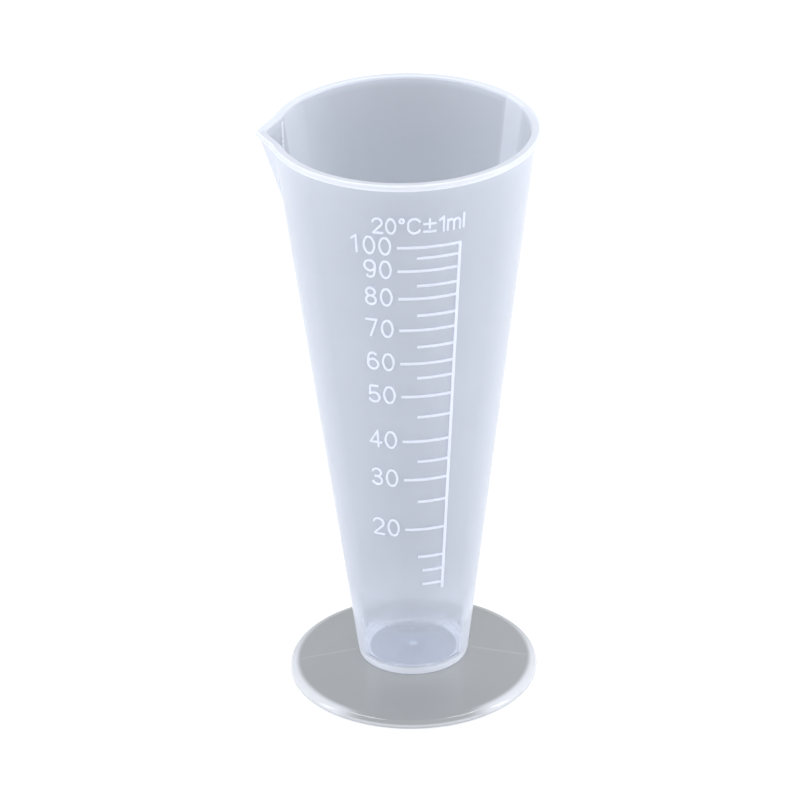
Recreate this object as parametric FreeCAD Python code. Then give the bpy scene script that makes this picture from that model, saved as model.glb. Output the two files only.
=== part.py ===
import FreeCAD, Part
import math
import os

# A 100 ml conical measure for mixing darkroom chemicals, standing on a wide round foot.
# Frame: millimetres, +Z up, origin on the cup's axis in the plane that the foot rests on.
# The pouring spout points along -X and the scale faces -Y.

Vector = FreeCAD.Vector

# Overall size
TOTAL_HEIGHT = 125.0
FOOT_DIAMETER = 52.2

# Foot: a shallow dome, hollow underneath, on a rounded edge ring
FOOT_EDGE_ROUND = 1.2
FOOT_BOTTOM_ROUND = 0.5
FOOT_CROWN_HEIGHT = 4.25
FOOT_WALL = 1.3
FOOT_RING_WIDTH = 2.0
HUB_RADIUS = 11.4
HUB_BOTTOM = 1.3

# Cup: a straight cone with a flat floor
CUP_BASE_DIAMETER = 22.9
CUP_TAPER_DEG = 7.17
CUP_WALL = 1.2
CUP_FLOOR = 1.3
FLOOR_CORNER = 0.8
BASE_CORNER = 0.4

# Hidden spigot under the cup, held in the foot's hub
SPIGOT_RADIUS = 9.4
SPIGOT_WALL = 1.3
SPIGOT_BOTTOM = 1.0
SNAP_BEAD = 0.35
GATE_RADIUS = 0.9
GATE_HEIGHT = 0.35

# Rim lip and pouring spout
LIP_OVERHANG = 0.75
LIP_HEIGHT = 1.3
LIP_ROUND = 0.5
SPOUT_LEG_ANGLE_DEG = 64.0
SPOUT_START = 109.0
SPOUT_REACH = 29.5
SPOUT_INSIDE_START = 107.0
SPOUT_INSIDE_REACH = 27.85
SPOUT_LIP_REACH = 29.85
SPOUT_TIP_ROUND = 0.7
SPOUT_ROOT_ROUND = 3.0
SPOUT_ROOT_DEPTH = 1.0

# Scale, raised on the cup's outside. Azimuth 0 faces -Y and grows towards +X.
RELIEF = 0.25
RELIEF_AZIMUTHS = (-50.0, 50.0)
LINE_WIDTH = 0.5
SPINE_WIDTH = 0.6
SPINE_AZIMUTH = 25.0
SPINE_TAIL = 1.6

# Height of each graduation line above the resting plane, by the millilitres it is marked with
LINE_HEIGHTS = {
    10: 28.0,
    12.5: 31.5,
    15: 35.0,
    20: 42.0,
    25: 49.0,
    30: 54.5,
    35: 59.0,
    40: 64.0,
    45: 70.0,
    50: 75.0,
    55: 79.5,
    60: 83.0,
    65: 87.0,
    70: 91.0,
    75: 94.5,
    80: 98.5,
    85: 101.5,
    90: 105.0,
    95: 108.0,
    100: 110.5,
}
FIRST_NUMBERED_ML = 20
FIRST_HALF_STEP_ML = 15
NUMBERED_STEP_ML = 10
NUMBERED_LINE_START = -4.5
HALF_STEP_LINE_START = 4.5
SHORT_LINE_START = 8.1

# Lettering: numbers and units drawn with strokes. Glyph sizes are for the strokes' centre lines.
# In the note, "o" stands for the degree sign and "+" for the plus-or-minus sign.
STROKE_WIDTH = 0.42
NUMERAL_HEIGHT = 3.85
NUMERAL_PITCH = 3.15
NUMERAL_GAP = 1.3
NUMERAL_RAISE = 0.35
NOTE = "20oC+1ml"
NOTE_HEIGHT = 3.3
NOTE_GAP = 0.8
NOTE_START = -15.0
NOTE_RAISE = 3.4

# Azimuth of the +X axis, where a section drawn in the XZ plane lies
X_AXIS_AZIMUTH = 90.0

# How far a cutting shape stands past the surface that it opens
CUT_CLEARANCE = 2.0

# Widths derived from the dimensions above
TAPER = math.radians(CUP_TAPER_DEG)
SLOPE = math.tan(TAPER)
WALL_ACROSS = CUP_WALL / math.cos(TAPER)
FLOOR_TOP = FOOT_CROWN_HEIGHT + CUP_FLOOR
SPOUT_LEG_ANGLE = math.radians(SPOUT_LEG_ANGLE_DEG)


def outer_radius(height):
    """Radius of the cup's outside at a height."""
    return CUP_BASE_DIAMETER / 2 + SLOPE * (height - FOOT_CROWN_HEIGHT)


def inner_radius(height):
    """Radius of the cup's inside at a height."""
    return outer_radius(height) - WALL_ACROSS


def revolved(outline):
    """Solid of revolution about the axis from a closed wire in the XZ plane."""
    face = Part.Face(outline)
    return face.revolve(Vector(0, 0, 0), Vector(0, 0, 1), 360)


def profile(points):
    """Closed wire in the XZ plane through (radius, height) points."""
    corners = [Vector(radius, 0, height) for radius, height in points]
    return Part.makePolygon(corners + corners[:1])


# Cup ---------------------------------------------------------------------------------------


def spout_section(ridge, height):
    """Kite-shaped section, from inside the cup to the spout's ridge at this distance."""
    leg = ridge * math.cos(SPOUT_LEG_ANGLE)
    side_x = -ridge + leg * math.cos(SPOUT_LEG_ANGLE)
    side_y = leg * math.sin(SPOUT_LEG_ANGLE)
    corners = [
        Vector(side_x / 2, 0, height),
        Vector(side_x, -side_y, height),
        Vector(-ridge, 0, height),
        Vector(side_x, side_y, height),
    ]
    return Part.makePolygon(corners + corners[:1])


def spout_wedge(start, wall, reach, top):
    """Wedge with a straight ridge, from the wall at its start to its reach at the rim."""
    lean = (reach - wall) / (TOTAL_HEIGHT - start)
    low = start - SPOUT_ROOT_DEPTH
    sections = [
        spout_section(wall - lean * (start - low), low),
        spout_section(reach + lean * (top - TOTAL_HEIGHT), top),
    ]
    return Part.makeLoft(sections, True, True)


def lip_outline(height):
    """Face bounded by the lip: a round edge with two straight legs that meet at the spout."""
    radius = outer_radius(TOTAL_HEIGHT) + LIP_OVERHANG
    nearest = math.pi / 2 - SPOUT_LEG_ANGLE
    swing = math.acos(SPOUT_LIP_REACH * math.sin(SPOUT_LEG_ANGLE) / radius)
    side_x = -radius * math.cos(nearest - swing)
    side_y = radius * math.sin(nearest - swing)
    near = Vector(side_x, -side_y, height)
    far = Vector(side_x, side_y, height)
    tip = Vector(-SPOUT_LIP_REACH, 0, height)
    round_edge = Part.Arc(near, Vector(radius, 0, height), far).toShape()
    legs = [Part.makeLine(far, tip), Part.makeLine(tip, near)]
    return Part.Face(Part.Wire([round_edge] + legs))


def rounded_lip():
    """Lip around the rim, as a solid plate whose outer edges are rounded."""
    plate = lip_outline(TOTAL_HEIGHT - LIP_HEIGHT).extrude(Vector(0, 0, LIP_HEIGHT))
    for reach, radius in ((SPOUT_LIP_REACH, SPOUT_TIP_ROUND), (0.0, SPOUT_ROOT_ROUND)):
        corners = [edge for edge in plate.Edges if is_corner(edge, reach)]
        plate = plate.makeFillet(radius, corners)
    level = [edge for edge in plate.Edges if edge.BoundBox.ZLength < 1e-3]
    return plate.makeFillet(LIP_ROUND, level)


def is_corner(edge, reach):
    """True for an upright edge of the lip at least this far out along the spout."""
    box = edge.BoundBox
    upright = box.ZLength > LIP_HEIGHT / 2 and box.XLength < 1e-3
    return upright and -SPOUT_LIP_REACH - 1e-3 < box.XMin < -reach + 1e-3


def cavity():
    """Space inside the cup: the cone and the spout's channel, open at the top."""
    above = TOTAL_HEIGHT + CUT_CLEARANCE
    floor_radius = inner_radius(FLOOR_TOP)
    cone = revolved(
        profile(
            [
                (0, FLOOR_TOP),
                (floor_radius - FLOOR_CORNER, FLOOR_TOP),
                (inner_radius(FLOOR_TOP + FLOOR_CORNER), FLOOR_TOP + FLOOR_CORNER),
                (inner_radius(above), above),
                (0, above),
            ]
        )
    )
    channel = spout_wedge(
        SPOUT_INSIDE_START, inner_radius(SPOUT_INSIDE_START), SPOUT_INSIDE_REACH, above
    )
    return cone.fuse(channel)


def spigot():
    """Short ring under the floor, with a bead that snaps under the foot's hub."""
    inside = SPIGOT_RADIUS - SPIGOT_WALL
    bead_bottom = HUB_BOTTOM - 2 * SNAP_BEAD
    ring = profile(
        [
            (inside, FOOT_CROWN_HEIGHT + BASE_CORNER),
            (inside, SPIGOT_BOTTOM - SNAP_BEAD),
            (SPIGOT_RADIUS - SNAP_BEAD, SPIGOT_BOTTOM - SNAP_BEAD),
            (SPIGOT_RADIUS + SNAP_BEAD, bead_bottom + SNAP_BEAD),
            (SPIGOT_RADIUS, HUB_BOTTOM),
            (SPIGOT_RADIUS, FOOT_CROWN_HEIGHT + BASE_CORNER),
        ]
    )
    return revolved(ring)


def cup():
    """Cone, floor, lip and spout in one moulding, with the spigot that joins it to the foot."""
    bottom = FOOT_CROWN_HEIGHT
    outside = revolved(
        profile(
            [
                (0, bottom),
                (outer_radius(bottom) - BASE_CORNER, bottom),
                (outer_radius(bottom + BASE_CORNER), bottom + BASE_CORNER),
                (outer_radius(TOTAL_HEIGHT), TOTAL_HEIGHT),
                (0, TOTAL_HEIGHT),
            ]
        )
    )
    spout = spout_wedge(SPOUT_START, outer_radius(SPOUT_START), SPOUT_REACH, TOTAL_HEIGHT)
    outside = outside.fuse([spout, rounded_lip()])
    gate = Part.makeCylinder(GATE_RADIUS, 2 * GATE_HEIGHT, Vector(0, 0, bottom - GATE_HEIGHT))
    shell = outside.cut(cavity())
    return shell.fuse([spigot(), gate]).removeSplitter()


# Foot --------------------------------------------------------------------------------------


def foot():
    """Domed disc with a rounded edge ring and a hub whose bore takes the cup's spigot."""
    outside = FOOT_DIAMETER / 2
    seat = CUP_BASE_DIAMETER / 2
    ring_inside = outside - FOOT_RING_WIDTH
    round_centre = (outside - FOOT_EDGE_ROUND, FOOT_BOTTOM_ROUND)
    run = round_centre[0] - seat
    fall = FOOT_CROWN_HEIGHT - round_centre[1]
    drop = math.atan2(fall, run) - math.asin(FOOT_EDGE_ROUND / math.hypot(run, fall))
    slope = math.tan(drop)

    def top(radius):
        return FOOT_CROWN_HEIGHT - slope * max(0.0, radius - seat)

    def on_round(centre, radius, angle):
        return Vector(centre[0] + radius * math.cos(angle), 0, centre[1] + radius * math.sin(angle))

    leave_angle = math.pi / 2 - drop
    leave = on_round(round_centre, FOOT_EDGE_ROUND, leave_angle)
    shoulder = on_round(round_centre, FOOT_EDGE_ROUND, leave_angle / 2)
    side = Vector(outside, 0, FOOT_BOTTOM_ROUND)
    low_centre = (outside - FOOT_BOTTOM_ROUND, FOOT_BOTTOM_ROUND)
    under = on_round(low_centre, FOOT_BOTTOM_ROUND, -math.pi / 4)
    rest = Vector(low_centre[0], 0, 0)
    points = [
        (ring_inside, 0),
        (ring_inside, top(ring_inside) - FOOT_WALL),
        (HUB_RADIUS, FOOT_CROWN_HEIGHT - FOOT_WALL),
        (HUB_RADIUS, HUB_BOTTOM),
        (SPIGOT_RADIUS, HUB_BOTTOM),
        (SPIGOT_RADIUS, FOOT_CROWN_HEIGHT),
        (seat, FOOT_CROWN_HEIGHT),
    ]
    corners = [rest] + [Vector(radius, 0, height) for radius, height in points] + [leave]
    edges = [Part.makeLine(a, b) for a, b in zip(corners[:-1], corners[1:])]
    edges.append(Part.Arc(leave, shoulder, side).toShape())
    edges.append(Part.Arc(side, under, rest).toShape())
    return revolved(Part.Wire(edges))


# Scale -------------------------------------------------------------------------------------


def raised_section(low, high):
    """Thin face lying on the cone's outside in the XZ plane, as thick as the raised marks."""
    outwards = RELIEF * math.cos(TAPER)
    down = RELIEF * math.sin(TAPER)
    return Part.Face(
        profile(
            [
                (outer_radius(low), low),
                (outer_radius(low) + outwards, low - down),
                (outer_radius(high) + outwards, high - down),
                (outer_radius(high), high),
            ]
        )
    )


def raised_band(low, high, start_azimuth, end_azimuth):
    """Raised band around the cone between two heights and two azimuths."""
    face = raised_section(low, high)
    face.rotate(Vector(0, 0, 0), Vector(0, 0, 1), start_azimuth - X_AXIS_AZIMUTH)
    return face.revolve(Vector(0, 0, 0), Vector(0, 0, 1), end_azimuth - start_azimuth)


def relief_layer(low, high):
    """Layer that the raised lettering is cut from, wide enough for the whole scale."""
    return raised_band(low, high, *RELIEF_AZIMUTHS)


def line_start(volume):
    """Azimuth where a graduation line starts. Numbered lines are the longest."""
    if volume < FIRST_HALF_STEP_ML:
        return SHORT_LINE_START
    if volume % NUMBERED_STEP_ML:
        return HALF_STEP_LINE_START
    return NUMBERED_LINE_START


def on_cone(azimuth, height):
    """Placement on the cone: x runs around to the right, y up the slope, z outwards."""
    around = math.radians(azimuth)
    right = Vector(math.cos(around), math.sin(around), 0)
    up = Vector(
        math.sin(around) * math.sin(TAPER), -math.cos(around) * math.sin(TAPER), math.cos(TAPER)
    )
    out = right.cross(up)
    radius = outer_radius(height)
    base = Vector(radius * math.sin(around), -radius * math.cos(around), height)
    return FreeCAD.Placement(base, FreeCAD.Rotation(right, up, out, "ZXY"))


def scale_lines():
    """Upright spine and every graduation line, joined into one raised comb."""
    half = LINE_WIDTH / 2 * math.cos(TAPER)
    comb = []
    for volume, height in LINE_HEIGHTS.items():
        start = line_start(volume)
        comb.append(raised_band(height - half, height + half, start, SPINE_AZIMUTH))
    low = min(LINE_HEIGHTS.values()) - SPINE_TAIL
    high = max(LINE_HEIGHTS.values()) + half
    length = 2 * TOTAL_HEIGHT
    depth = 2 * CUT_CLEARANCE
    corner = Vector(-SPINE_WIDTH / 2, -length / 2, -depth / 2)
    spine = Part.makeBox(SPINE_WIDTH, length, depth, corner)
    spine.Placement = on_cone(SPINE_AZIMUTH, TOTAL_HEIGHT / 2)
    comb.append(spine.common(relief_layer(low, high)))
    return comb[0].fuse(comb[1:]).removeSplitter()


# Glyphs: a width and its strokes, in a box one unit high. A line is (x0, y0, x1, y1), and an
# arc is (centre x, centre y, radius, start angle, end angle) in degrees, anticlockwise.
DIGIT_WIDTH = 0.56
HALF = DIGIT_WIDTH / 2
OVAL_END_RADIUS = 0.19
BOWL_HEIGHT = 0.62
BOWL_END_RADIUS = 0.25
HOOK_RADIUS = 0.22
HOOK_END = 38
TWO_TURN = -44.4


def flank(half_width, rise, end_radius):
    """Radius of a long side arc tangent to a small end arc, and the angle where they meet."""
    radius = (half_width**2 + rise**2 - end_radius**2) / (2 * (half_width - end_radius))
    return radius, math.degrees(math.atan2(rise, radius - half_width))


def oval(height, end_radius):
    """Four tangent arcs that make an oval as wide as a digit."""
    middle = height / 2
    side, meet = flank(HALF, middle - end_radius, end_radius)
    return [
        (HALF, height - end_radius, end_radius, meet, 180 - meet),
        (side, middle, side, 180 - meet, 180 + meet),
        (HALF, end_radius, end_radius, 180 + meet, 360 - meet),
        (DIGIT_WIDTH - side, middle, side, -meet, meet),
    ]


def six():
    """A bowl with a stem that curves up from its left side and over into a hook."""
    middle = BOWL_HEIGHT / 2
    side, meet = flank(HALF, 1 - HOOK_RADIUS - middle, HOOK_RADIUS)
    stem = (side, middle, side, 180 - meet, 180)
    hook = (HALF, 1 - HOOK_RADIUS, HOOK_RADIUS, HOOK_END, 180 - meet)
    return oval(BOWL_HEIGHT, BOWL_END_RADIUS) + [stem, hook]


def turned(strokes):
    """The same arcs turned upside down within a digit's box."""
    return [
        (DIGIT_WIDTH - x, 1 - y, radius, start + 180, end + 180)
        for x, y, radius, start, end in strokes
    ]


GLYPHS = {
    "0": (DIGIT_WIDTH, oval(1, OVAL_END_RADIUS)),
    "1": (0.26, [(0.26, 0, 0.26, 1), (0.26, 1, 0, 0.78)]),
    "2": (
        DIGIT_WIDTH,
        [
            (HALF, 1 - HALF, HALF, TWO_TURN, 168),
            (
                HALF + HALF * math.cos(math.radians(TWO_TURN)),
                1 - HALF + HALF * math.sin(math.radians(TWO_TURN)),
                0,
                0,
            ),
            (0, 0, DIGIT_WIDTH, 0),
        ],
    ),
    "3": (
        DIGIT_WIDTH,
        [(0.28, 0.76, 0.24, -90, 160), (0.18, 0.52, 0.28, 0.52), (0.28, 0.26, 0.26, -158, 90)],
    ),
    "4": (0.6, [(0.43, 0, 0.43, 1), (0.43, 1, 0, 0.27), (0, 0.27, 0.6, 0.27)]),
    "5": (
        DIGIT_WIDTH,
        [(0.1, 1, 0.5, 1), (0.1, 1, 0.05, 0.485), (HALF, 0.29, 0.29, -152, 142)],
    ),
    "6": (DIGIT_WIDTH, six()),
    "7": (DIGIT_WIDTH, [(0, 1, DIGIT_WIDTH, 1), (DIGIT_WIDTH, 1, 0.2, 0)]),
    "8": (DIGIT_WIDTH, [(HALF, 0.765, 0.235, 0, 360), (HALF, 0.265, 0.265, 0, 360)]),
    "9": (DIGIT_WIDTH, turned(six())),
    "o": (0.26, [(0.13, 0.87, 0.13, 0, 360)]),
    "C": (
        0.69,
        [(0.36, 0.64, 0.36, 25, 180), (0, 0.36, 0, 0.64), (0.36, 0.36, 0.36, 180, 335)],
    ),
    "+": (0.7, [(0.35, 0.3, 0.35, 0.92), (0, 0.61, 0.7, 0.61), (0, 0.06, 0.7, 0.06)]),
    "m": (
        0.78,
        [
            (0, 0, 0, 0.72),
            (0.195, 0.525, 0.195, 0, 180),
            (0.39, 0, 0.39, 0.525),
            (0.585, 0.525, 0.195, 0, 180),
            (0.78, 0, 0.78, 0.525),
        ],
    ),
    "l": (0, [(0, 0, 0, 1)]),
}


def stroke_solid(stroke, height):
    """One stroke with round ends, standing through the cone's surface."""
    half = STROKE_WIDTH / 2
    depth = 2 * CUT_CLEARANCE
    bottom = -CUT_CLEARANCE

    def disc(x, y):
        return Part.makeCylinder(half, depth, Vector(x, y, bottom))

    if len(stroke) == 4:
        x0, y0, x1, y1 = (value * height for value in stroke)
        length = math.hypot(x1 - x0, y1 - y0)
        bar = Part.makeBox(length, STROKE_WIDTH, depth, Vector(0, -half, bottom))
        bar.rotate(Vector(0, 0, 0), Vector(0, 0, 1), math.degrees(math.atan2(y1 - y0, x1 - x0)))
        bar.translate(Vector(x0, y0, 0))
        return [bar, disc(x0, y0), disc(x1, y1)]
    x, y, radius = (value * height for value in stroke[:3])
    start, end = stroke[3:]
    centre = Vector(x, y, bottom)
    if end - start >= 360:
        ring = Part.makeCylinder(radius + half, depth, centre)
        return [ring.cut(Part.makeCylinder(radius - half, depth, centre))]
    outer = Part.makeCircle(radius + half, centre, Vector(0, 0, 1), start, end)
    inner = Part.makeCircle(radius - half, centre, Vector(0, 0, 1), start, end)
    cap_a = Part.makeLine(inner.valueAt(inner.FirstParameter), outer.valueAt(outer.FirstParameter))
    cap_b = Part.makeLine(inner.valueAt(inner.LastParameter), outer.valueAt(outer.LastParameter))
    outline = Part.Wire(Part.__sortEdges__([outer, cap_b, inner, cap_a]))
    band = Part.Face(outline).extrude(Vector(0, 0, depth))
    ends = [
        disc(x + radius * math.cos(turn), y + radius * math.sin(turn))
        for turn in (math.radians(start), math.radians(end))
    ]
    return [band] + ends


def glyph(character, size, azimuth, baseline, layer):
    """One raised character, centred on an azimuth, with its foot at a height on the cone."""
    width, strokes = GLYPHS[character]
    parts = []
    for stroke in strokes:
        parts.extend(stroke_solid(stroke, size))
    shape = parts[0].fuse(parts[1:]).removeSplitter() if len(parts) > 1 else parts[0]
    shape.translate(Vector(-width * size / 2, 0, 0))
    shape.transformShape(on_cone(azimuth, baseline).toMatrix())
    return shape.common(layer).Solids


def numeral(volume, layer):
    """The digits of one graduation, set to the left of its line."""
    line = LINE_HEIGHTS[volume]
    baseline = line + NUMERAL_RAISE - NUMERAL_HEIGHT / 2 * math.cos(TAPER)
    arc = NUMERAL_GAP + DIGIT_WIDTH * NUMERAL_HEIGHT / 2
    solids = []
    for digit in reversed(str(volume)):
        azimuth = NUMBERED_LINE_START - math.degrees(arc / outer_radius(line))
        solids.extend(glyph(digit, NUMERAL_HEIGHT, azimuth, baseline, layer))
        arc += NUMERAL_PITCH
    return solids


def scale_numerals():
    """The volume in millilitres beside each of the long lines."""
    low = LINE_HEIGHTS[FIRST_NUMBERED_ML] - NUMERAL_HEIGHT
    high = max(LINE_HEIGHTS.values()) + NUMERAL_HEIGHT
    layer = relief_layer(low, high)
    solids = []
    for volume in range(FIRST_NUMBERED_ML, max(LINE_HEIGHTS) + 1, NUMBERED_STEP_ML):
        solids.extend(numeral(volume, layer))
    return Part.makeCompound(solids)


def temperature_note():
    """The temperature and tolerance that the scale holds for, in one row above it."""
    baseline = max(LINE_HEIGHTS.values()) + NOTE_RAISE
    layer = relief_layer(baseline - NOTE_HEIGHT, baseline + 2 * NOTE_HEIGHT)
    radius = outer_radius(baseline)
    arc = math.radians(NOTE_START) * radius
    solids = []
    for character in NOTE:
        width = GLYPHS[character][0] * NOTE_HEIGHT
        azimuth = math.degrees((arc + width / 2) / radius)
        solids.extend(glyph(character, NOTE_HEIGHT, azimuth, baseline, layer))
        arc += width + NOTE_GAP
    return Part.makeCompound(solids)


NODES = {
    "cup": cup,
    "foot": foot,
    "scale_lines": scale_lines,
    "scale_numerals": scale_numerals,
    "temperature_note": temperature_note,
}

os.makedirs("parts", exist_ok=True)
for name, build in NODES.items():
    build().exportStep(f"parts/{name}.step")
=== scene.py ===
import math

import bmesh
import bpy
from mathutils import Matrix, Vector


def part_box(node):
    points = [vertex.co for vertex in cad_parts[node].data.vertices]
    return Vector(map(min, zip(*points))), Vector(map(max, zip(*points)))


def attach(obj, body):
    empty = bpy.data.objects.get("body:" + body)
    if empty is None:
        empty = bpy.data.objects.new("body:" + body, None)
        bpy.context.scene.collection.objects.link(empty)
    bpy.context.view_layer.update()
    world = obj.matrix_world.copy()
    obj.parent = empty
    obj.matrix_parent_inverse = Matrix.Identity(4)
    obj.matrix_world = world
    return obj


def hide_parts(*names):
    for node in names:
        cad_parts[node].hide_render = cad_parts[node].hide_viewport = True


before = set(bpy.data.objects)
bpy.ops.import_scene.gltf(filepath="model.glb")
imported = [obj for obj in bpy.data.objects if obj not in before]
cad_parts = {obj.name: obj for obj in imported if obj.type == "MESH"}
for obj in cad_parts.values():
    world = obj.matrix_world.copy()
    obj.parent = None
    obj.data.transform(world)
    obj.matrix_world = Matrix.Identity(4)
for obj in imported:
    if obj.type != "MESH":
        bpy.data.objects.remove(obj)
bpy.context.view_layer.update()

# Metres throughout. The spout points along -X and the scale faces -Y. Angles around the cup start
# at the spout and grow by way of the rear, +Y. Angles around the foot start at +X.
MM = 0.001
cup_low, cup_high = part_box("cup")
foot_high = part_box("foot")[1]

# Foot
FOOT_RADIUS = foot_high.x
FOOT_CROWN = foot_high.z
FOOT_EDGE_ROUND = 1.2 * MM
FOOT_BOTTOM_ROUND = 0.5 * MM
FOOT_WALL = 1.3 * MM
FOOT_RING = 2.0 * MM
FOOT_CORNER = 0.2 * MM
HUB_RADIUS = 11.4 * MM
HUB_BOTTOM = 1.3 * MM
HUB_CLEARANCE = 0.05 * MM

# The foot's white rim, a painted glow, starts at this height, and ends this far inside the ring it
# stands on
FOOT_PAINTED_GLOW_START = 0.1 * MM
FOOT_PAINTED_GLOW_END = 0.2 * MM

# Fine raised line across the foot's top, such as a mould leaves
FOOT_LINE_START = 12.0 * MM
FOOT_LINE_END = 24.2 * MM
FOOT_LINE_HALF_WIDTH = 0.28 * MM
FOOT_LINE_HEIGHT = 0.03 * MM
FOOT_LINE_PALE = 0.13
FOOT_LINE_COSINE = 0.9

# Cup
RIM_TOP = cup_high.z
BASE_RADIUS = 11.45 * MM
TAPER = math.radians(7.17)
SLOPE = math.tan(TAPER)
WALL = 1.2 * MM
WALL_ACROSS = WALL / math.cos(TAPER)
FLOOR_TOP = FOOT_CROWN + 1.3 * MM
FLOOR_CORNER = 0.9 * MM
BASE_CORNER = 0.45 * MM
SPIGOT_RADIUS = 9.35 * MM
SPIGOT_WALL = 1.25 * MM
SPIGOT_BOTTOM = cup_low.z
GATE_RADIUS = 0.9 * MM
GATE_HEIGHT = 0.35 * MM
GATE_SPOT_RADIUS = 0.8 * MM
HIDDEN_CORNER = 0.15 * MM

# Lip and spout
LIP_RADIUS = cup_high.x
LIP_HEIGHT = 1.3 * MM
LIP_ROUND = 0.5 * MM
LIP_LOW_ROUND = 0.4 * MM
RIM_INNER_ROUND = 0.45 * MM
LEG_ANGLE = math.radians(64.0)
SPOUT_START = 109.0 * MM
SPOUT_REACH = 29.5 * MM
SPOUT_INSIDE_START = 107.0 * MM
SPOUT_INSIDE_REACH = 27.85 * MM
SPOUT_LIP_REACH = 29.85 * MM
SPOUT_SOFTNESS = 0.12 * MM
TIP_SOFTNESS = math.radians(0.7)
CREASE_HEIGHT = 0.24 * MM
CREASE_HALF_WIDTH = 0.42 * MM
CREASE_GROWTH = 1.2 * MM
CREASE_FADE = (RIM_TOP - 1.2 * MM, RIM_TOP - 0.6 * MM)
# How strongly the crease is whitened: partly its bead's thicker plastic, partly a painted highlight
CREASE_SOLID = 2.8

# How much whiter the plastic is drawn, from 0 on the plain wall to 1 in a thick corner: partly the
# thick plastic's own whiteness, partly painted highlight, as on the rim's rounded edges and the crease
RIM_TOP_SOLID = 0.75
RIM_INSIDE_SOLID = 0.8
RIM_WALL_SOLID = 0.6
UNDER_LIP_SOLID = 0.6
GATE_SOLID = 0.8
HIDDEN_SOLID = 0.15
LOW_PALE = 0.2

# Painted highlight zones of the rear inner wall, drawn as paleness: strength, then the angles in
# degrees from the spout between which the zone rises, and those between which it falls
PAINTED_GLEAM_ZONES = (
    (0.9, (142.0, 145.5), (157.0, 170.0)),
    (0.3, (142.0, 146.0), (172.0, 186.0)),
    (0.8, (15.0, 18.0), (26.0, 60.0)),
)

# Heights between which the look of the wall changes
BASE_SOLID_END = (5.8 * MM, 7.0 * MM)
RIM_SOLID_START = (RIM_TOP - 2.2 * MM, RIM_TOP - 1.0 * MM)
FLOOR_PALE_END = (7.2 * MM, 8.8 * MM)
LOW_PALE_END = (8.8 * MM, 20.0 * MM)
THIN_END = (13.0 * MM, 24.0 * MM)
# The painted highlight on the inner wall grows in between these heights
PAINTED_GLEAM_START = (75.0 * MM, 112.0 * MM)

# Heights of the mesh rings on the wall's outside, as (from, to, steps)
WALL_RINGS = (
    (FOOT_CROWN + BASE_CORNER, 8 * MM, 8),
    (8 * MM, 20 * MM, 8),
    (20 * MM, 106 * MM, 24),
    (106 * MM, 121.5 * MM, 18),
)

# The same on its inside, from the rim down. Between the top and the low ones it has the heights
# of the rings outside
TOP_RINGS = (RIM_TOP - RIM_INNER_ROUND - 0.25 * MM, 121.8 * MM, 8)
SHARED_RINGS_START = 20.5 * MM
LOW_RINGS = (20 * MM, 9 * MM, 6)
LOWEST_RINGS = (9 * MM, FLOOR_TOP + FLOOR_CORNER + 0.1 * MM, 9)

# Radii of the rings on the cup's floor, and those between which it starts to look solid
FLOOR_RINGS = (9.3 * MM, 8.5 * MM, 4)
MIDDLE_FLOOR_RINGS = (6 * MM, 3 * MM, 1.2 * MM)
FLOOR_SOLID_START = (8.8 * MM, 9.3 * MM)

# Arcs of the cup's section stop this many degrees short of level at the wall, and turn this far
# at the lip
WALL_LEAN_DEG = 7
LIP_TURN_DEG = 80
ARC_STEPS = 5
LONG_ARC_STEPS = 7

# Distances to the rings just below the lip, beside its root and on the flat top of the rim
LIP_ROOT_GAP = 0.3 * MM
LIP_ROOT_STEP = 0.05 * MM
RIM_FLAT_STEP = 0.1 * MM

# Steps along the foot's section
FOOT_BOTTOM_STEPS = 6
FOOT_EDGE_STEPS = 16
FOOT_PAINTED_GLOW_STEPS = 8
FOOT_TOP_STEPS = 12
FOOT_UNDER_STEPS = 10

# Mesh columns around the axis
FINE_SPAN_DEG = 28.0
FINE_STEP_DEG = 0.25
COARSE_COLUMNS = 228
FOOT_COLUMNS = 288
LINE_STEP_DEG = 0.15
LINE_STEPS = 8


def outer_radius(height):
    """Radius of the cone's outside at a height."""
    return BASE_RADIUS + SLOPE * (height - FOOT_CROWN)


def inner_radius(height):
    """Radius of the cone's inside at a height."""
    return outer_radius(height) - WALL_ACROSS


# Meshes ------------------------------------------------------------------------------------------


def new_object(name, vertices, faces, attributes=None):
    """Mesh object with smooth faces, its normals pointing out, and a value per vertex by name."""
    mesh = bpy.data.meshes.new(name)
    mesh.from_pydata([tuple(v) for v in vertices], [], faces)
    for key, values in (attributes or {}).items():
        mesh.attributes.new(key, "FLOAT", "POINT").data.foreach_set("value", values)
    work = bmesh.new()
    work.from_mesh(mesh)
    bmesh.ops.recalc_face_normals(work, faces=work.faces)
    work.to_mesh(mesh)
    work.free()
    mesh.shade_smooth()
    obj = bpy.data.objects.new(name, mesh)
    bpy.context.scene.collection.objects.link(obj)
    return obj


def ease(value, start, end):
    """0 at start, rising smoothly to 1 at end."""
    share = min(1.0, max(0.0, (value - start) / (end - start)))
    return share * share * (3 - 2 * share)


def arc_points(centre, radius, start_deg, end_deg, steps):
    """(radius, height) points around an arc of a profile, ends included."""
    points = []
    for index in range(steps + 1):
        turn = math.radians(start_deg + (end_deg - start_deg) * index / steps)
        points.append((centre[0] + radius * math.cos(turn), centre[1] + radius * math.sin(turn)))
    return points


def azimuth_steps():
    """Angles around the axis from the spout at 0, finer where the spout is."""
    reach = round(FINE_SPAN_DEG / FINE_STEP_DEG)
    fine = [math.radians(FINE_STEP_DEG * index) for index in range(-reach, reach)]
    rest = 360.0 - 2 * FINE_SPAN_DEG
    coarse = [
        math.radians(FINE_SPAN_DEG + rest * index / COARSE_COLUMNS) for index in range(COARSE_COLUMNS)
    ]
    return fine + coarse


def spout_ridge(height, start, wall, reach):
    """Distance of a spout ridge from the axis at a height."""
    return wall + (reach - wall) * (height - start) / (RIM_TOP - start)


def turn_from_spout(angle):
    """Size of the angle between a place and the spout, in radians."""
    return abs(math.remainder(angle, math.tau))


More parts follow.
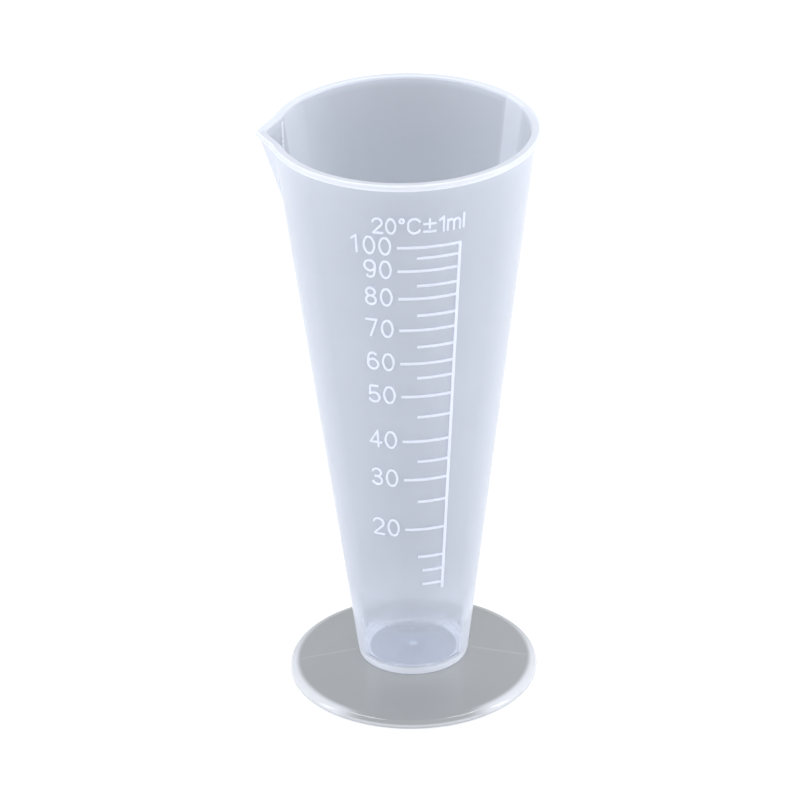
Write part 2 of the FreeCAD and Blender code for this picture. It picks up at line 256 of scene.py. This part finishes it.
def leg_radius(angle, ridge):
    """Distance from the axis to the V's straight leg, at an angle from the spout."""
    turn = turn_from_spout(angle)
    if turn > math.pi / 2 - LEG_ANGLE:
        return 0.0
    soft = math.sqrt(turn * turn + TIP_SOFTNESS * TIP_SOFTNESS) - TIP_SOFTNESS / 2
    return ridge * math.sin(LEG_ANGLE) / math.sin(LEG_ANGLE + soft)


def smooth_max(a, b, softness):
    """The larger of two lengths, with the corner between them rounded."""
    gap = max(softness - abs(a - b), 0.0) / softness
    return max(a, b) + gap * gap * softness / 4


def crease_share(angle, ridge, radius):
    """1 on the line where the V's leg meets the round wall, falling to 0 beside it."""
    reach = ridge * math.sin(LEG_ANGLE) / radius
    if reach >= 1 or ridge <= radius:
        return 0.0
    meeting = math.asin(reach) - LEG_ANGLE
    offset = (turn_from_spout(angle) - meeting) * radius
    rise = ease(ridge - radius, 0.0, CREASE_GROWTH)
    return rise * math.exp(-((offset / CREASE_HALF_WIDTH) ** 2))


def spaced(start, end, steps):
    """Evenly spaced values from start to end, ends included."""
    return [start + (end - start) * index / steps for index in range(steps + 1)]


def wall_point(height, face):
    """A point of the plain cone, with how much it is whitened and how pale it looks there."""
    if face == "outside":
        return (outer_radius(height), height, face, 1.0 - ease(height, *BASE_SOLID_END), 0.0)
    solid = RIM_WALL_SOLID * ease(height, *RIM_SOLID_START)
    pale = 1.0 - (1.0 - LOW_PALE) * ease(height, *FLOOR_PALE_END)
    pale -= LOW_PALE * ease(height, *LOW_PALE_END)
    return (inner_radius(height), height, face, solid, pale)


def cup_outline():
    """The cup's closed section from the middle of its underside to the middle of its floor.

    Each point is (radius, height, face, whitening, pale). Face names the surface it is on, and with it
    how the spout shapes it. Whitening is 1 where thick plastic stands behind the point, and 0 on the
    plain wall; the rim's rounded edges get more of it than its flat top, a painted highlight. Pale
    whitens the same way, but isn't seen through the wall from its other side; on the inner wall it
    grows towards the floor."""
    under = FOOT_CROWN
    gate_bottom = under - GATE_HEIGHT
    small = HIDDEN_CORNER
    spigot_inside = SPIGOT_RADIUS - SPIGOT_WALL
    hidden = [(GATE_RADIUS - small, gate_bottom), (GATE_RADIUS, gate_bottom + small)]
    hidden += [(GATE_RADIUS, under - small), (GATE_RADIUS + small, under)]
    hidden += [(spigot_inside - small, under), (spigot_inside, under - small)]
    hidden += [(spigot_inside, SPIGOT_BOTTOM + small), (spigot_inside + small, SPIGOT_BOTTOM)]
    hidden += [(SPIGOT_RADIUS - small, SPIGOT_BOTTOM), (SPIGOT_RADIUS, SPIGOT_BOTTOM + small)]
    hidden += [(SPIGOT_RADIUS, under - small), (SPIGOT_RADIUS + small, under)]
    points = [(radius, height, "round", HIDDEN_SOLID, 0.0) for radius, height in hidden]

    def rounded(centre, radius, start, end, steps, face, solid):
        arc = arc_points(centre, radius, start, end, steps)
        return [(r, z, face, solid, 0.0) for r, z in arc]

    corner = (outer_radius(under) - BASE_CORNER, under + BASE_CORNER)
    points += rounded(corner, BASE_CORNER, -90, -WALL_LEAN_DEG, ARC_STEPS, "round", 1.0)

    heights = [height for span in WALL_RINGS for height in spaced(*span)[1:]]
    points += [wall_point(height, "outside") for height in heights]

    lip_bottom = RIM_TOP - LIP_HEIGHT
    under_lip = outer_radius(lip_bottom)
    points.append((under_lip, lip_bottom - LIP_ROOT_GAP, "outside", 0.0, 0.0))
    root = (under_lip + LIP_ROOT_STEP, lip_bottom - LIP_ROOT_STEP)
    points.append((*root, "outside", UNDER_LIP_SOLID, 0.0))
    low_centre = (LIP_RADIUS - LIP_LOW_ROUND, lip_bottom + LIP_LOW_ROUND)
    points += rounded(low_centre, LIP_LOW_ROUND, -LIP_TURN_DEG, 0, ARC_STEPS, "lip", 1.0)
    high_centre = (LIP_RADIUS - LIP_ROUND, RIM_TOP - LIP_ROUND)
    points += rounded(high_centre, LIP_ROUND, 0, LIP_TURN_DEG, LONG_ARC_STEPS, "lip", 1.0)
    points.append((high_centre[0], RIM_TOP, "lip", RIM_TOP_SOLID, 0.0))
    rim_centre = (inner_radius(RIM_TOP) + RIM_INNER_ROUND, RIM_TOP - RIM_INNER_ROUND)
    points.append((rim_centre[0] + RIM_FLAT_STEP, RIM_TOP, "rim_inside", RIM_TOP_SOLID, 0.0))
    turn = (LIP_TURN_DEG, 180 - WALL_LEAN_DEG)
    points += rounded(rim_centre, RIM_INNER_ROUND, *turn, ARC_STEPS, "rim_inside", RIM_INSIDE_SOLID)

    middle = [height for height in reversed(heights) if height > SHARED_RINGS_START]
    inside = spaced(*TOP_RINGS) + middle + spaced(*LOW_RINGS)[:-1] + spaced(*LOWEST_RINGS)
    points += [wall_point(height, "inside") for height in inside]
    floor_centre = (inner_radius(FLOOR_TOP) - FLOOR_CORNER, FLOOR_TOP + FLOOR_CORNER)
    points += rounded(floor_centre, FLOOR_CORNER, -WALL_LEAN_DEG, -90, LONG_ARC_STEPS, "round", 1.0)
    for radius in (*spaced(*FLOOR_RINGS), *MIDDLE_FLOOR_RINGS):
        points.append((radius, FLOOR_TOP, "floor", ease(radius, *FLOOR_SOLID_START), 0.0))
    points.append((GATE_SPOT_RADIUS, FLOOR_TOP, "floor", GATE_SOLID, 0.0))
    return points


def painted_gleam(height, angle):
    """Painted highlight on the inner wall, drawn as paleness: a bright strip and its surroundings
    opposite the spout, and a soft zone beside the spout."""
    turn = math.degrees(angle)
    zones = [most * ease(turn, *rise) * (1.0 - ease(turn, *fall)) for most, rise, fall in PAINTED_GLEAM_ZONES]
    return max(zones) * ease(height, *PAINTED_GLEAM_START)


def cup_point(radius, height, face, solid, pale, angle):
    """A point of the cup with how much it is whitened and how pale it is, its section widened at the
    spout.
    """
    outer_ridge = spout_ridge(height, SPOUT_START, outer_radius(SPOUT_START), SPOUT_REACH)
    inner_start = inner_radius(SPOUT_INSIDE_START)
    inner_ridge = spout_ridge(height, SPOUT_INSIDE_START, inner_start, SPOUT_INSIDE_REACH)
    if face == "outside":
        radius = smooth_max(radius, leg_radius(angle, outer_ridge), SPOUT_SOFTNESS)
    elif face == "lip":
        reach = leg_radius(angle, SPOUT_LIP_REACH)
        radius += smooth_max(LIP_RADIUS, reach, SPOUT_SOFTNESS) - LIP_RADIUS
    elif face in ("inside", "rim_inside"):
        wall = inner_radius(height)
        reach = leg_radius(angle, inner_ridge)
        crease = crease_share(angle, inner_ridge, wall)
        crease *= 1.0 - ease(height, *CREASE_FADE)
        radius += smooth_max(wall, reach, SPOUT_SOFTNESS) - wall - CREASE_HEIGHT * crease
        # Painted highlight along the crease, on top of its bead's whiteness
        solid = max(solid, min(1.0, CREASE_SOLID * crease))
        # The inner wall's pale takes in the painted highlight zones
        pale = max(pale, painted_gleam(height, angle))
    return (-radius * math.cos(angle), radius * math.sin(angle), height), solid, pale


def closed_surface(rings, poles):
    """Vertices and faces of a stack of rings, capped at two poles or else joined end to end."""
    count = len(rings[0])
    vertices = [point for ring in rings for point in ring]
    faces = []
    last = len(rings) - 1
    pairs = [(row, row + 1) for row in range(last)]
    if not poles:
        pairs.append((last, 0))
    for low, high in pairs:
        for column in range(count):
            after = (column + 1) % count
            faces.append(
                (low * count + column, low * count + after, high * count + after, high * count + column)
            )
    if poles:
        for row, pole in ((0, poles[0]), (last, poles[1])):
            vertices.append(pole)
            tip = len(vertices) - 1
            for column in range(count):
                faces.append((row * count + (column + 1) % count, row * count + column, tip))
    return vertices, faces


def make_cup():
    """The cup, with values per vertex. Inner is 1 on its inside, and thin on its clearer low
    wall."""
    angles = azimuth_steps()
    rings = []
    values = {"solid": [], "pale": [], "inner": [], "thin": []}
    for radius, height, face, solid, pale in cup_outline():
        column = [cup_point(radius, height, face, solid, pale, angle) for angle in angles]
        rings.append([place for place, here_solid, here_pale in column])
        values["solid"] += [here_solid for place, here_solid, here_pale in column]
        values["pale"] += [here_pale for place, here_solid, here_pale in column]
        inner = 1.0 if face in ("inside", "floor") else 0.0
        thin = 1.0 - ease(height, *THIN_END) if face in ("inside", "outside") else 0.0
        values["inner"] += [inner] * len(angles)
        values["thin"] += [thin] * len(angles)
    middle = {"solid": GATE_SOLID, "pale": 0.0, "inner": 1.0, "thin": 0.0}
    for key, value in middle.items():
        values[key] += [value, value]
    poles = ((0, 0, FOOT_CROWN - GATE_HEIGHT), (0, 0, FLOOR_TOP))
    vertices, faces = closed_surface(rings, poles)
    return new_object("cup_moulding", vertices, faces, values)


def foot_outline():
    """The foot's closed section: rounded edge, domed top, hub and hollow underside.

    Each point is (radius, height, whitening, under). Whitening is 1 on the rounded edge, where
    the foot's painted white glow goes, and fades across the ring's top beside it. Under is 1 on
    the dull faces underneath."""
    seat = BASE_RADIUS
    centre = (FOOT_RADIUS - FOOT_EDGE_ROUND, FOOT_BOTTOM_ROUND)
    run = centre[0] - seat
    fall = FOOT_CROWN - centre[1]
    lean = math.atan2(fall, run) - math.asin(FOOT_EDGE_ROUND / math.hypot(run, fall))
    slope = math.tan(lean)

    def top(radius):
        return FOOT_CROWN - slope * max(0.0, radius - seat)

    ring_inside = FOOT_RADIUS - FOOT_RING
    small = FOOT_CORNER
    clear_of_spigot = SPIGOT_RADIUS + HUB_CLEARANCE
    low_centre = (FOOT_RADIUS - FOOT_BOTTOM_ROUND, FOOT_BOTTOM_ROUND)
    under = arc_points(low_centre, FOOT_BOTTOM_ROUND, -90, 0, FOOT_BOTTOM_STEPS)
    rounded = arc_points(centre, FOOT_EDGE_ROUND, 0, 90 - math.degrees(lean), FOOT_EDGE_STEPS)
    # The rounded edge and the ring's top beside it carry the foot's painted white glow
    points = [(r, z, ease(z, FOOT_PAINTED_GLOW_START, FOOT_BOTTOM_ROUND), 0.0) for r, z in under]
    points += [(r, z, 1.0, 0.0) for r, z in rounded[1:]]
    leave = points[-1][0]
    inner_edge = ring_inside - FOOT_PAINTED_GLOW_END
    painted_glow_radii = spaced(leave, inner_edge, FOOT_PAINTED_GLOW_STEPS)[1:]
    points += [(r, top(r), ease(r, inner_edge, leave), 0.0) for r in painted_glow_radii]
    plain = spaced(inner_edge, seat + small, FOOT_TOP_STEPS)[1:]
    points += [(r, top(r), 0.0, 0.0) for r in plain]
    points += [(seat, FOOT_CROWN, 0.0, 0.0), (clear_of_spigot + small, FOOT_CROWN, 0.0, 1.0)]
    hub = [(clear_of_spigot, FOOT_CROWN - small), (clear_of_spigot, HUB_BOTTOM + small)]
    hub += [(clear_of_spigot + small, HUB_BOTTOM), (HUB_RADIUS - small, HUB_BOTTOM)]
    hub += [(HUB_RADIUS, HUB_BOTTOM + small), (HUB_RADIUS, FOOT_CROWN - FOOT_WALL - small)]
    hollow = spaced(HUB_RADIUS + small, ring_inside - small, FOOT_UNDER_STEPS)
    hub += [(r, top(r) - FOOT_WALL) for r in hollow]
    hub += [(ring_inside, top(ring_inside) - FOOT_WALL - small), (ring_inside, small)]
    hub += [(ring_inside + small, 0.0)]
    points += [(r, z, 0.0, 1.0) for r, z in hub]
    return points


def witness(radius, angle):
    """How much of the fine line there is at a place on the foot's top, from 0 to 1."""
    if abs(math.cos(angle)) < FOOT_LINE_COSINE or not FOOT_LINE_START < radius < FOOT_LINE_END:
        return 0.0
    return math.exp(-((radius * math.sin(angle) / FOOT_LINE_HALF_WIDTH) ** 2))


def make_foot():
    """The foot, with extra columns where the fine line runs. Its pale is that line, and its inner
    the dull underside."""
    coarse = [math.tau * column / FOOT_COLUMNS for column in range(FOOT_COLUMNS)]
    steps = [step for step in range(-LINE_STEPS, LINE_STEPS + 1) if step]
    near = [math.radians(LINE_STEP_DEG * step) for step in steps]
    angles = sorted(coarse + [a % math.tau for a in near] + [a + math.pi for a in near])
    rings = []
    values = {"solid": [], "pale": [], "inner": []}
    for radius, height, solid, under in foot_outline():
        line = [0.0 if under else witness(radius, a) for a in angles]
        rings.append(
            [
                (radius * math.cos(a), radius * math.sin(a), height + FOOT_LINE_HEIGHT * rise)
                for a, rise in zip(angles, line)
            ]
        )
        values["solid"] += [solid] * len(angles)
        values["pale"] += [FOOT_LINE_PALE * rise for rise in line]
        values["inner"] += [under] * len(angles)
    vertices, faces = closed_surface(rings, None)
    return new_object("foot_moulding", vertices, faces, values)


# Materials ---------------------------------------------------------------------------------------

# Share by which the clouding changes roughness and milkiness
ROUGH_CLOUDING = 0.15
MILK_CLOUDING = 0.05

# A rounded rim's painted glow, a painted reflection of the white surroundings, by the cosine
# between its bearing and the viewer's: none up to the first value, all of it at the second, and
# down to the share given below from the third to the fourth
PAINTED_GLOW_BESIDE = (0.92, 0.76)
PAINTED_GLOW_FADE = (-0.8, 0.0)
PAINTED_GLOW_BEHIND = 0.4

# The same rim's painted reflection of the floor, by how steeply its reflection rises: none at the
# first value, all of it at the second
PAINTED_FLOOR_GLOW_RISE = (0.4, 0.05)
PAINTED_FLOOR_GLOW = 0.7

# Octaves of noise
RIPPLE_DETAIL = 3.0
GRAIN_DETAIL = 2.0
CLOUD_DETAIL = 3.0

# Relief, with its noise scales per metre and its bump depth in metres
MARK_COLOUR = (0.90, 0.93, 1.0, 1)
MARK_ROUGHNESS = (0.45, 0.65)
MARK_GLOW_SHARE = 0.35
MARK_GRAIN_SCALE = 4000.0
MARK_GRAIN_DETAIL = 3.0
MARK_GRAIN_DEPTH = 0.00001
MARK_CLOUD_SCALE = 300.0
MARK_CLOUD_DETAIL = 2.0

FLOOR_COLOUR = (0.93, 0.93, 0.93, 1)


class Recipe:
    """A node material under construction: add() makes a node and join() links two sockets."""

    def __init__(self, name):
        self.material = bpy.data.materials.new(name)
        self.material.use_nodes = True
        self.tree = self.material.node_tree
        self.tree.nodes.clear()

    def add(self, kind, **values):
        node = self.tree.nodes.new("ShaderNode" + kind)
        for key, value in values.items():
            if hasattr(node, key):
                setattr(node, key, value)
            else:
                node.inputs[key.replace("_", " ")].default_value = value
        return node

    def join(self, source, target):
        self.tree.links.new(source, target)

    def scaled(self, source, low, high):
        """A value between 0 and 1, turned into one between low and high."""
        node = self.add("MapRange")
        node.inputs["To Min"].default_value = low
        node.inputs["To Max"].default_value = high
        self.join(source, node.inputs["Value"])
        return node.outputs["Result"]

    def curve(self, source, points):
        """A value read off a curve through (position, value) points."""
        node = self.add("ValToRGB")
        stops = node.color_ramp.elements
        for index, (position, value) in enumerate(points):
            stop = stops[index] if index < 2 else stops.new(position)
            stop.position = position
            stop.color = (value, value, value, 1)
        self.join(source, node.inputs["Fac"])
        return node.outputs["Color"]

    def level(self, vector):
        """The horizontal part of a direction, one unit long."""
        flat = self.add("VectorMath", operation="MULTIPLY")
        flat.inputs[1].default_value = (1, 1, 0)
        self.join(vector, flat.inputs[0])
        unit = self.add("VectorMath", operation="NORMALIZE")
        self.join(flat.outputs["Vector"], unit.inputs[0])
        return unit.outputs["Vector"]

    def painted_rim_glow(self):
        """How much painted glow a rounded rim gets, a painted reflection of its white surroundings:
        none where it faces the viewer, fully beside, partly behind, and with the floor where its
        reflection runs low."""
        geometry = self.add("NewGeometry")
        bearing = self.add("VectorMath", operation="DOT_PRODUCT")
        self.join(self.level(geometry.outputs["Normal"]), bearing.inputs[0])
        self.join(self.level(geometry.outputs["Incoming"]), bearing.inputs[1])
        towards = bearing.outputs["Value"]
        beside = self.stepped(towards, *PAINTED_GLOW_BESIDE)
        behind = self.scaled(self.stepped(towards, *PAINTED_GLOW_FADE), PAINTED_GLOW_BEHIND, 1.0)
        parts = self.add("SeparateXYZ")
        self.join(self.add("TexCoord").outputs["Reflection"], parts.inputs[0])
        ground = self.scaled(self.stepped(parts.outputs["Z"], *PAINTED_FLOOR_GLOW_RISE), 0.0, PAINTED_FLOOR_GLOW)
        return self.maths("MAXIMUM", self.maths("MULTIPLY", beside, behind), ground)

    def stepped(self, source, low, high):
        """0 at low rising smoothly to 1 at high."""
        node = self.add("MapRange", interpolation_type="SMOOTHSTEP")
        node.inputs["From Min"].default_value = low
        node.inputs["From Max"].default_value = high
        self.join(source, node.inputs["Value"])
        return node.outputs["Result"]

    def clouded(self, cloud, value, spread):
        """A value that varies by a share of itself with the clouding."""
        return self.scaled(cloud, value * (1.0 - spread), value * (1.0 + spread))

    def attribute(self, name):
        """The mesh's value per vertex of that name, or 0 on a mesh that has none."""
        node = self.add("Attribute")
        node.attribute_name = name
        return node.outputs["Fac"]

    def maths(self, operation, first, second):
        """Two values combined by an operation."""
        node = self.add("Math", operation=operation)
        self.join(first, node.inputs[0])
        self.join(second, node.inputs[1])
        return node.outputs[0]

    def tinted(self, share, first, second):
        """Colour that goes from first to second as share goes from 0 to 1."""
        node = self.add("Mix", data_type="RGBA")
        self.join(share, node.inputs[0])
        for socket, colour in ((node.inputs[6], first), (node.inputs[7], second)):
            if isinstance(colour, tuple):
                socket.default_value = colour
            else:
                self.join(colour, socket)
        return node.outputs[2]

    def mixed(self, share, first, second):
        """Shader that goes from first to second as share goes from 0 to 1."""
        node = self.add("MixShader")
        if isinstance(share, float):
            node.inputs[0].default_value = share
        else:
            self.join(share, node.inputs[0])
        self.join(first, node.inputs[1])
        self.join(second, node.inputs[2])
        return node.outputs[0]

    def noise(self, scale, detail):
        """Noise over the object's own coordinates, in metres."""
        node = self.add("TexNoise", Scale=scale, Detail=detail)
        self.join(self.add("TexCoord").outputs["Object"], node.inputs["Vector"])
        return node.outputs["Fac"]

    def bump(self, height, distance, normal=None):
        """Surface normal tilted by a height texture, on top of an earlier one if given."""
        node = self.add("Bump", Distance=distance)
        self.join(height, node.inputs["Height"])
        if normal is not None:
            self.join(normal, node.inputs["Normal"])
        return node.outputs["Normal"]

    def finish(self, surface):
        """The material, with its surface joined."""
        output = self.add("OutputMaterial")
        self.join(surface, output.inputs["Surface"])
        return self.material


def milky_plastic(name, look):
    """Translucent plastic: a rough clear part, a milky part that depends on the viewing angle and
    is full where the plastic is thick and where painted highlight and glow are drawn, darker on
    the inside by painted shade, and a sheen. Rays on their way to a lamp go straight through, only
    tinted, so that the inside and the floor stay lit."""
    thin_look = {**look, **look.get("thin", {})}
    recipe = Recipe(name)
    ripple = recipe.noise(look["ripple_scale"], RIPPLE_DETAIL)
    grain = recipe.noise(look["grain_scale"], GRAIN_DETAIL)
    normal = recipe.bump(ripple, look["ripple_depth"])
    normal = recipe.bump(grain, look["grain_depth"], normal)
    cloud = recipe.noise(look["cloud_scale"], CLOUD_DETAIL)
    facing = recipe.add("LayerWeight", Blend=0.5).outputs["Facing"]
    geometry = recipe.add("NewGeometry")
    front = recipe.scaled(geometry.outputs["Backfacing"], 1.0, 0.0)
    pale = recipe.maths("MULTIPLY", recipe.attribute("pale"), front)
    solid = recipe.attribute("solid")
    # On the foot the whitening is masked by the painted rim glow, so its white rim is painted light
    if look["painted_edge_glow"]:
        solid = recipe.maths("MULTIPLY", solid, recipe.painted_rim_glow())
    # Whitening from thick plastic and from painted highlights, glow and pale zones
    whitened = recipe.scaled(recipe.maths("MAXIMUM", solid, pale), 0.0, look["whitened_share"])
    inner = recipe.attribute("inner")
    frost = recipe.scaled(inner, 0.0, look["inner_rough"])
    thin = recipe.attribute("thin")
    rough = recipe.clouded(cloud, look["rough"], ROUGH_CLOUDING)
    rough = recipe.maths("MULTIPLY", rough, recipe.scaled(thin, 1.0, thin_look["rough"] / look["rough"]))
    rough = recipe.maths("ADD", rough, frost)

    clear = recipe.add("BsdfRefraction", IOR=look["ior"])
    clear_colour = recipe.tinted(thin, look["clear_colour"], thin_look["clear_colour"])
    recipe.join(clear_colour, clear.inputs["Color"])
    recipe.join(rough, clear.inputs["Roughness"])
    recipe.join(normal, clear.inputs["Normal"])
    # Painted shade: the cup's inside is drawn in a darker milky colour, where less light falls
    milk_colour = recipe.tinted(inner, look["milk_colour"], look["painted_inside_shade_colour"])
    milk_colour = recipe.tinted(whitened, milk_colour, look["whitened_colour"])
    scatter = recipe.add("BsdfDiffuse")
    recipe.join(milk_colour, scatter.inputs["Color"])
    recipe.join(normal, scatter.inputs["Normal"])
    glow = recipe.add("BsdfTranslucent")
    recipe.join(milk_colour, glow.inputs["Color"])
    milk = recipe.mixed(look["glow_share"], scatter.outputs[0], glow.outputs[0])

    usual = recipe.curve(facing, look["milk_by_facing"])
    share = recipe.tinted(thin, usual, recipe.curve(facing, thin_look["milk_by_facing"]))
    share = recipe.maths("MULTIPLY", share, recipe.clouded(cloud, 1.0, MILK_CLOUDING))
    share = recipe.maths("MAXIMUM", share, whitened)
    body = recipe.mixed(share, clear.outputs[0], milk)

    gloss = recipe.add("BsdfGlossy")
    gloss_rough = recipe.clouded(cloud, look["gloss_rough"], ROUGH_CLOUDING)
    recipe.join(gloss_rough, gloss.inputs["Roughness"])
    recipe.join(normal, gloss.inputs["Normal"])
    fresnel = recipe.add("Fresnel", IOR=look["ior"])
    recipe.join(normal, fresnel.inputs["Normal"])
    sheen = recipe.scaled(fresnel.outputs[0], 0.0, look["sheen"])
    shiny = recipe.mixed(sheen, body, gloss.outputs[0])

    open_air = recipe.add("BsdfTransparent")
    shadow_colour = recipe.tinted(thin, look["shadow_colour"], thin_look["shadow_colour"])
    recipe.join(shadow_colour, open_air.inputs["Color"])
    path = recipe.add("LightPath")
    surface = recipe.mixed(path.outputs["Is Shadow Ray"], shiny, open_air.outputs[0])
    return recipe.finish(surface)


# Colours are linear. Curves give the milky share by facing, from 0 head-on to 1 at grazing. Noise
# scales are per metre and bump depths are in metres.
CUP_LOOK = {
    "ior": 1.49,
    "clear_colour": (0.64, 0.66, 0.69, 1),
    "milk_colour": (0.87, 0.91, 1.0, 1),
    # Painted shade on the inside faces
    "painted_inside_shade_colour": (0.69, 0.715, 0.76, 1),
    # Whitened colour: partly thick plastic's own whiteness, partly painted highlight on edges
    "whitened_colour": (0.885, 0.91, 0.97, 1),
    "shadow_colour": (0.62, 0.64, 0.68, 1),
    "glow_share": 0.35,
    "milk_by_facing": ((0.0, 0.5), (0.45, 0.58), (0.8, 0.8), (0.92, 0.92), (1.0, 0.7)),
    "whitened_share": 0.97,
    "painted_edge_glow": False,
    "rough": 0.06,
    "inner_rough": 0.0,
    "gloss_rough": 0.18,
    "sheen": 0.6,
    "ripple_scale": 60.0,
    "ripple_depth": 0.00004,
    "grain_scale": 2500.0,
    "grain_depth": 0.000003,
    "cloud_scale": 45.0,
    # What differs on the clearer low wall
    "thin": {
        "clear_colour": (0.94, 0.95, 0.975, 1),
        "shadow_colour": (0.97, 0.975, 0.985, 1),
        "milk_by_facing": ((0.0, 0.12), (0.52, 0.2), (0.66, 0.8), (0.9, 1.0), (1.0, 0.9)),
        "rough": 0.0072,
    },
}

FOOT_LOOK = {
    "ior": 1.49,
    "clear_colour": (0.78, 0.79, 0.80, 1),
    "milk_colour": (0.415, 0.425, 0.435, 1),
    "painted_inside_shade_colour": (0.415, 0.425, 0.435, 1),
    # Colour of the foot rim's painted white glow
    "whitened_colour": (0.84, 0.86, 0.91, 1),
    "shadow_colour": (0.80, 0.81, 0.82, 1),
    "glow_share": 0.2,
    "milk_by_facing": ((0.0, 0.93), (0.6, 0.9), (1.0, 0.6)),
    "whitened_share": 0.95,
    "painted_edge_glow": True,
    "rough": 0.05,
    "inner_rough": 0.45,
    "gloss_rough": 0.05,
    "sheen": 1.4,
    "ripple_scale": 90.0,
    "ripple_depth": 0.00002,
    "grain_scale": 3000.0,
    "grain_depth": 0.000001,
    "cloud_scale": 60.0,
}


def marks_material():
    """Frosted relief: a dull, nearly opaque white, so that it shows up against the wall."""
    recipe = Recipe("frosted_relief")
    grain = recipe.noise(MARK_GRAIN_SCALE, MARK_GRAIN_DETAIL)
    cloud = recipe.noise(MARK_CLOUD_SCALE, MARK_CLOUD_DETAIL)
    normal = recipe.bump(grain, MARK_GRAIN_DEPTH)
    scatter = recipe.add("BsdfPrincipled", Base_Color=MARK_COLOUR)
    recipe.join(recipe.scaled(cloud, *MARK_ROUGHNESS), scatter.inputs["Roughness"])
    recipe.join(normal, scatter.inputs["Normal"])
    glow = recipe.add("BsdfTranslucent", Color=MARK_COLOUR)
    return recipe.finish(recipe.mixed(MARK_GLOW_SHARE, scatter.outputs[0], glow.outputs[0]))


def floor_material():
    """Plain matt floor."""
    recipe = Recipe("pale_floor")
    return recipe.finish(recipe.add("BsdfDiffuse", Color=FLOOR_COLOUR).outputs[0])


def paint(obj, material):
    """Gives an object one material, in place of any it has."""
    obj.data.materials.clear()
    obj.data.materials.append(material)


# Stage, lights and camera ------------------------------------------------------------------------

FLOOR_HALF_WIDTH = 1.0

# Strength of the surroundings: as the camera sees them, and as they light the object
CAMERA_LIGHT = 1.0
FRONT_LIGHT = 1.15
BACK_LIGHT = 0.3
WORLD_COLOUR = (0.97, 0.98, 1.0, 1)

# Lamps, as name, place, width, height and power in watts
LAMP_TARGET = (0, 0, 0.06)
LAMPS = (
    ("left_box", (-0.95, -0.1, 0.35), 0.2, 0.7, 1.9),
    ("right_box", (0.95, -0.1, 0.35), 0.2, 0.7, 2.7),
    ("top_box", (0.0, 0.3, 1.15), 0.9, 0.5, 9.0),
)

CAMERA_DISTANCE = 0.9655
CAMERA_ELEVATION = math.radians(27.956)
CAMERA_ROLL = math.radians(-1.063)
CAMERA_TARGET = Vector((-0.001875, 0, 0.063493))
CAMERA_NEAR = 0.01
CAMERA_FAR = 50.0
SENSOR_WIDTH = 36.0
LENS = 210.95


def make_floor():
    """Square floor at the resting plane, under the middle of the object."""
    half = FLOOR_HALF_WIDTH
    vertices = [(-half, -half, 0), (half, -half, 0), (half, half, 0), (-half, half, 0)]
    floor = new_object("studio_floor", vertices, [(0, 1, 2, 3)])
    paint(floor, floor_material())


def soft_box(name, place, width, height, power):
    """Rectangular lamp at a place, turned to face the object."""
    data = bpy.data.lights.new(name, "AREA")
    data.shape = "RECTANGLE"
    data.size = width
    data.size_y = height
    data.energy = power
    lamp = bpy.data.objects.new(name, data)
    lamp.location = place
    aim = Vector(LAMP_TARGET) - Vector(place)
    lamp.rotation_euler = aim.to_track_quat("-Z", "Y").to_euler()
    bpy.context.scene.collection.objects.link(lamp)


def make_world():
    """White surroundings. The light they cast on the object is stronger from its front, where the
    camera is, than from behind it."""
    world = bpy.data.worlds.new("studio")
    bpy.context.scene.world = world
    world.use_nodes = True
    tree = world.node_tree
    tree.nodes.clear()
    output = tree.nodes.new("ShaderNodeOutputWorld")
    seen = tree.nodes.new("ShaderNodeBackground")
    seen.inputs["Color"].default_value = (1, 1, 1, 1)
    seen.inputs["Strength"].default_value = CAMERA_LIGHT
    light = tree.nodes.new("ShaderNodeBackground")
    light.inputs["Color"].default_value = WORLD_COLOUR
    direction = tree.nodes.new("ShaderNodeTexCoord")
    parts = tree.nodes.new("ShaderNodeSeparateXYZ")
    across = tree.nodes.new("ShaderNodeMapRange")
    across.inputs["From Min"].default_value = -1.0
    across.inputs["To Min"].default_value = FRONT_LIGHT
    across.inputs["To Max"].default_value = BACK_LIGHT
    path = tree.nodes.new("ShaderNodeLightPath")
    mix = tree.nodes.new("ShaderNodeMixShader")
    tree.links.new(direction.outputs["Generated"], parts.inputs[0])
    tree.links.new(parts.outputs["Y"], across.inputs["Value"])
    tree.links.new(across.outputs["Result"], light.inputs["Strength"])
    tree.links.new(path.outputs["Is Camera Ray"], mix.inputs[0])
    tree.links.new(light.outputs[0], mix.inputs[1])
    tree.links.new(seen.outputs[0], mix.inputs[2])
    tree.links.new(mix.outputs[0], output.inputs["Surface"])


def make_camera():
    """Camera at the photograph's viewing angle, in front of the scale and above it."""
    data = bpy.data.cameras.new("camera")
    data.lens = LENS
    data.sensor_width = SENSOR_WIDTH
    data.clip_start = CAMERA_NEAR
    data.clip_end = CAMERA_FAR
    camera = bpy.data.objects.new("camera", data)
    back = Vector((0, -math.cos(CAMERA_ELEVATION), math.sin(CAMERA_ELEVATION)))
    level_right = Vector((1, 0, 0))
    level_up = back.cross(level_right)
    right = level_right * math.cos(CAMERA_ROLL) + level_up * math.sin(CAMERA_ROLL)
    up = back.cross(right)
    turn = Matrix((right, up, back)).transposed()
    camera.matrix_world = Matrix.Translation(CAMERA_TARGET + back * CAMERA_DISTANCE) @ turn.to_4x4()
    bpy.context.scene.collection.objects.link(camera)
    bpy.context.scene.camera = camera


# The object --------------------------------------------------------------------------------------


cup = make_cup()
paint(cup, milky_plastic("cup_plastic", CUP_LOOK))
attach(cup, "root")
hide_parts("cup")

foot = make_foot()
paint(foot, milky_plastic("foot_plastic", FOOT_LOOK))
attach(foot, "root")
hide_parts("foot")

relief = marks_material()
for node in ("scale_lines", "scale_numerals", "temperature_note"):
    paint(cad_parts[node], relief)

make_floor()
make_world()
make_camera()
for lamp in LAMPS:
    soft_box(*lamp)

scene = bpy.context.scene
scene.view_settings.view_transform = "Standard"
scene.view_settings.look = "None"
